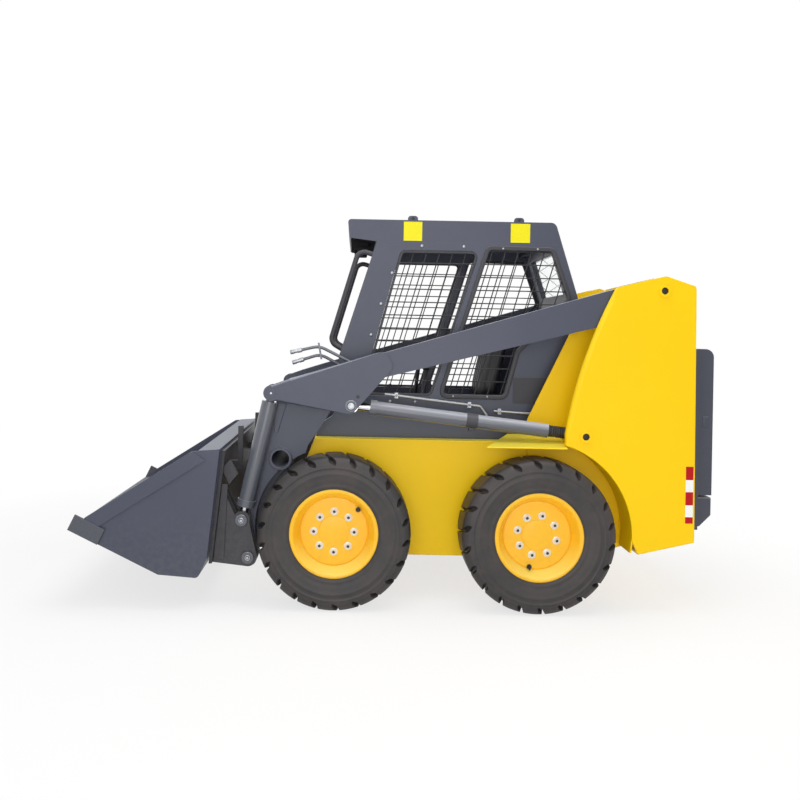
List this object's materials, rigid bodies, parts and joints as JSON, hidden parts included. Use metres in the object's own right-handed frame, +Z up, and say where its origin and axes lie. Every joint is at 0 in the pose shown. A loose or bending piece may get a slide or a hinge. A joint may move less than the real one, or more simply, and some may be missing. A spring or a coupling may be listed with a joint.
{
  "type": "skid steer loader",
  "caption": "Skid steer loader with a mesh-sided cab, lift arms on rear towers, a tilting bucket, lift and tilt cylinders, lugged tyres and a rear door.",
  "frame": {"origin": "on the ground, at the middle of the overall length and width", "axes": "+X forward, +Y to the machine's left, +Z up"},
  "size_m": [3.3, 1.744, 2.03],
  "materials": {
    "yellow_paint": "gloss enamel",
    "grey_paint": "semi-gloss enamel",
    "rim_paint": "gloss enamel",
    "tyre_rubber": "moulded rubber",
    "engine_iron": "painted casting",
    "bright_rod": "ground and plated",
    "wire_mesh": "black enamel",
    "seat_vinyl": "embossed vinyl",
    "black_plastic": "moulded",
    "lamp_lens": "clear moulded",
    "pipe_steel": "zinc plated",
    "edge_steel": "worn hard steel",
    "window_glass": "clear toughened"
  },
  "bodies": {
    "chassis": {"main_frame": "yellow_paint", "axle_housings": "yellow_paint", "tower_left": "yellow_paint", "tower_right": "yellow_paint", "engine_block": "engine_iron", "engine_hood": "grey_paint", "rear_bumper": "grey_paint", "lamps": "lamp_lens", "cab_side_left": "grey_paint", "cab_side_right": "grey_paint", "grille_left": "wire_mesh", "grille_right": "wire_mesh", "cab_roof": "grey_paint", "cab_rear_panel": "grey_paint", "cab_rear_glass": "window_glass", "cab_floor": "grey_paint", "seat_frame": "black_plastic", "seat_cushions": "seat_vinyl", "control_levers": "black_plastic", "grab_rails": "grey_paint", "hydraulic_lines": "pipe_steel"},
    "lift_arms": {"arm_left": "grey_paint", "arm_right": "grey_paint", "arm_cross_tube": "grey_paint", "aux_lines": "pipe_steel"},
    "bucket": {"hitch_frame": "grey_paint", "bucket_shell": "grey_paint", "cutting_edge": "edge_steel"},
    "rear_door": {"rear_door": "grey_paint"},
    "front_left_wheel": {"tyre_front_left": "tyre_rubber", "wheel_front_left": "rim_paint"},
    "front_right_wheel": {"tyre_front_right": "tyre_rubber", "wheel_front_right": "rim_paint"},
    "rear_left_wheel": {"tyre_rear_left": "tyre_rubber", "wheel_rear_left": "rim_paint"},
    "rear_right_wheel": {"tyre_rear_right": "tyre_rubber", "wheel_rear_right": "rim_paint"},
    "lift_barrel_left": {"lift_barrel_left": "grey_paint"},
    "lift_rod_left": {"lift_rod_left": "bright_rod"},
    "tilt_barrel_left": {"tilt_barrel_left": "grey_paint"},
    "tilt_rod_left": {"tilt_rod_left": "bright_rod"},
    "lift_barrel_right": {"lift_barrel_right": "grey_paint"},
    "lift_rod_right": {"lift_rod_right": "bright_rod"},
    "tilt_barrel_right": {"tilt_barrel_right": "grey_paint"},
    "tilt_rod_right": {"tilt_rod_right": "bright_rod"}
  },
  "joints": [
    {"name": "front_left_wheel_spin", "type": "hinge", "parent": "chassis", "child": "front_left_wheel", "pos_m": [0.34, 0.698, 0.3865], "axis": [0, 1, 0], "continuous": true},
    {"name": "front_right_wheel_spin", "type": "hinge", "parent": "chassis", "child": "front_right_wheel", "pos_m": [0.34, -0.698, 0.3865], "axis": [0, 1, 0], "continuous": true},
    {"name": "rear_left_wheel_spin", "type": "hinge", "parent": "chassis", "child": "rear_left_wheel", "pos_m": [-0.685, 0.698, 0.3865], "axis": [0, 1, 0], "continuous": true},
    {"name": "rear_right_wheel_spin", "type": "hinge", "parent": "chassis", "child": "rear_right_wheel", "pos_m": [-0.685, -0.698, 0.3865], "axis": [0, 1, 0], "continuous": true},
    {"name": "boom_lift", "type": "hinge", "parent": "chassis", "child": "lift_arms", "pos_m": [-1.302, 0, 1.631], "axis": [0, -1, 0], "range_deg": [0, 62]},
    {"name": "bucket_tilt", "type": "hinge", "parent": "lift_arms", "child": "bucket", "pos_m": [0.775, 0, 0.243], "axis": [0, 1, 0], "range_deg": [0, 120]},
    {"name": "rear_door_swing", "type": "hinge", "parent": "chassis", "child": "rear_door", "pos_m": [-1.59, -0.545, 0.69], "axis": [0, 0, 1], "range_deg": [0, 100]},
    {"name": "lift_barrel_left_swing", "type": "hinge", "parent": "chassis", "child": "lift_barrel_left", "pos_m": [-0.919, 0.675, 0.889], "axis": [0, -1, 0], "range_deg": [0, 57.82]},
    {"name": "lift_rod_left_slide", "type": "slide", "parent": "lift_barrel_left", "child": "lift_rod_left", "axis": [0.9939, 0, 0.1099], "range_m": [0, 0.85262]},
    {"name": "tilt_barrel_left_swing", "type": "hinge", "parent": "lift_arms", "child": "tilt_barrel_left", "pos_m": [0.671, 0.682, 1.078], "axis": [0, -1, 0], "range_deg": [0, 2.33]},
    {"name": "tilt_rod_left_slide", "type": "slide", "parent": "tilt_barrel_left", "child": "tilt_rod_left", "axis": [0.2115, 0, -0.9774], "range_m": [0, 0.33002]},
    {"name": "lift_barrel_right_swing", "type": "hinge", "parent": "chassis", "child": "lift_barrel_right", "pos_m": [-0.919, -0.675, 0.889], "axis": [0, -1, 0], "range_deg": [0, 57.82]},
    {"name": "lift_rod_right_slide", "type": "slide", "parent": "lift_barrel_right", "child": "lift_rod_right", "axis": [0.9939, 0, 0.1099], "range_m": [0, 0.85262]},
    {"name": "tilt_barrel_right_swing", "type": "hinge", "parent": "lift_arms", "child": "tilt_barrel_right", "pos_m": [0.671, -0.682, 1.078], "axis": [0, -1, 0], "range_deg": [0, 2.33]},
    {"name": "tilt_rod_right_slide", "type": "slide", "parent": "tilt_barrel_right", "child": "tilt_rod_right", "axis": [0.2115, 0, -0.9774], "range_m": [0, 0.33002]}
  ],
  "couplings": [
    {"joint": "lift_barrel_left_swing", "follows": "boom_lift", "ratio": 0.93239},
    {"joint": "lift_rod_left_slide", "follows": "boom_lift", "m_per_rad": 0.78783},
    {"joint": "tilt_barrel_left_swing", "follows": "bucket_tilt", "ratio": 0.019317},
    {"joint": "tilt_rod_left_slide", "follows": "bucket_tilt", "m_per_rad": 0.15752},
    {"joint": "lift_barrel_right_swing", "follows": "boom_lift", "ratio": 0.93239},
    {"joint": "lift_rod_right_slide", "follows": "boom_lift", "m_per_rad": 0.78783},
    {"joint": "tilt_barrel_right_swing", "follows": "bucket_tilt", "ratio": 0.019317},
    {"joint": "tilt_rod_right_slide", "follows": "bucket_tilt", "m_per_rad": 0.15752}
  ]
}
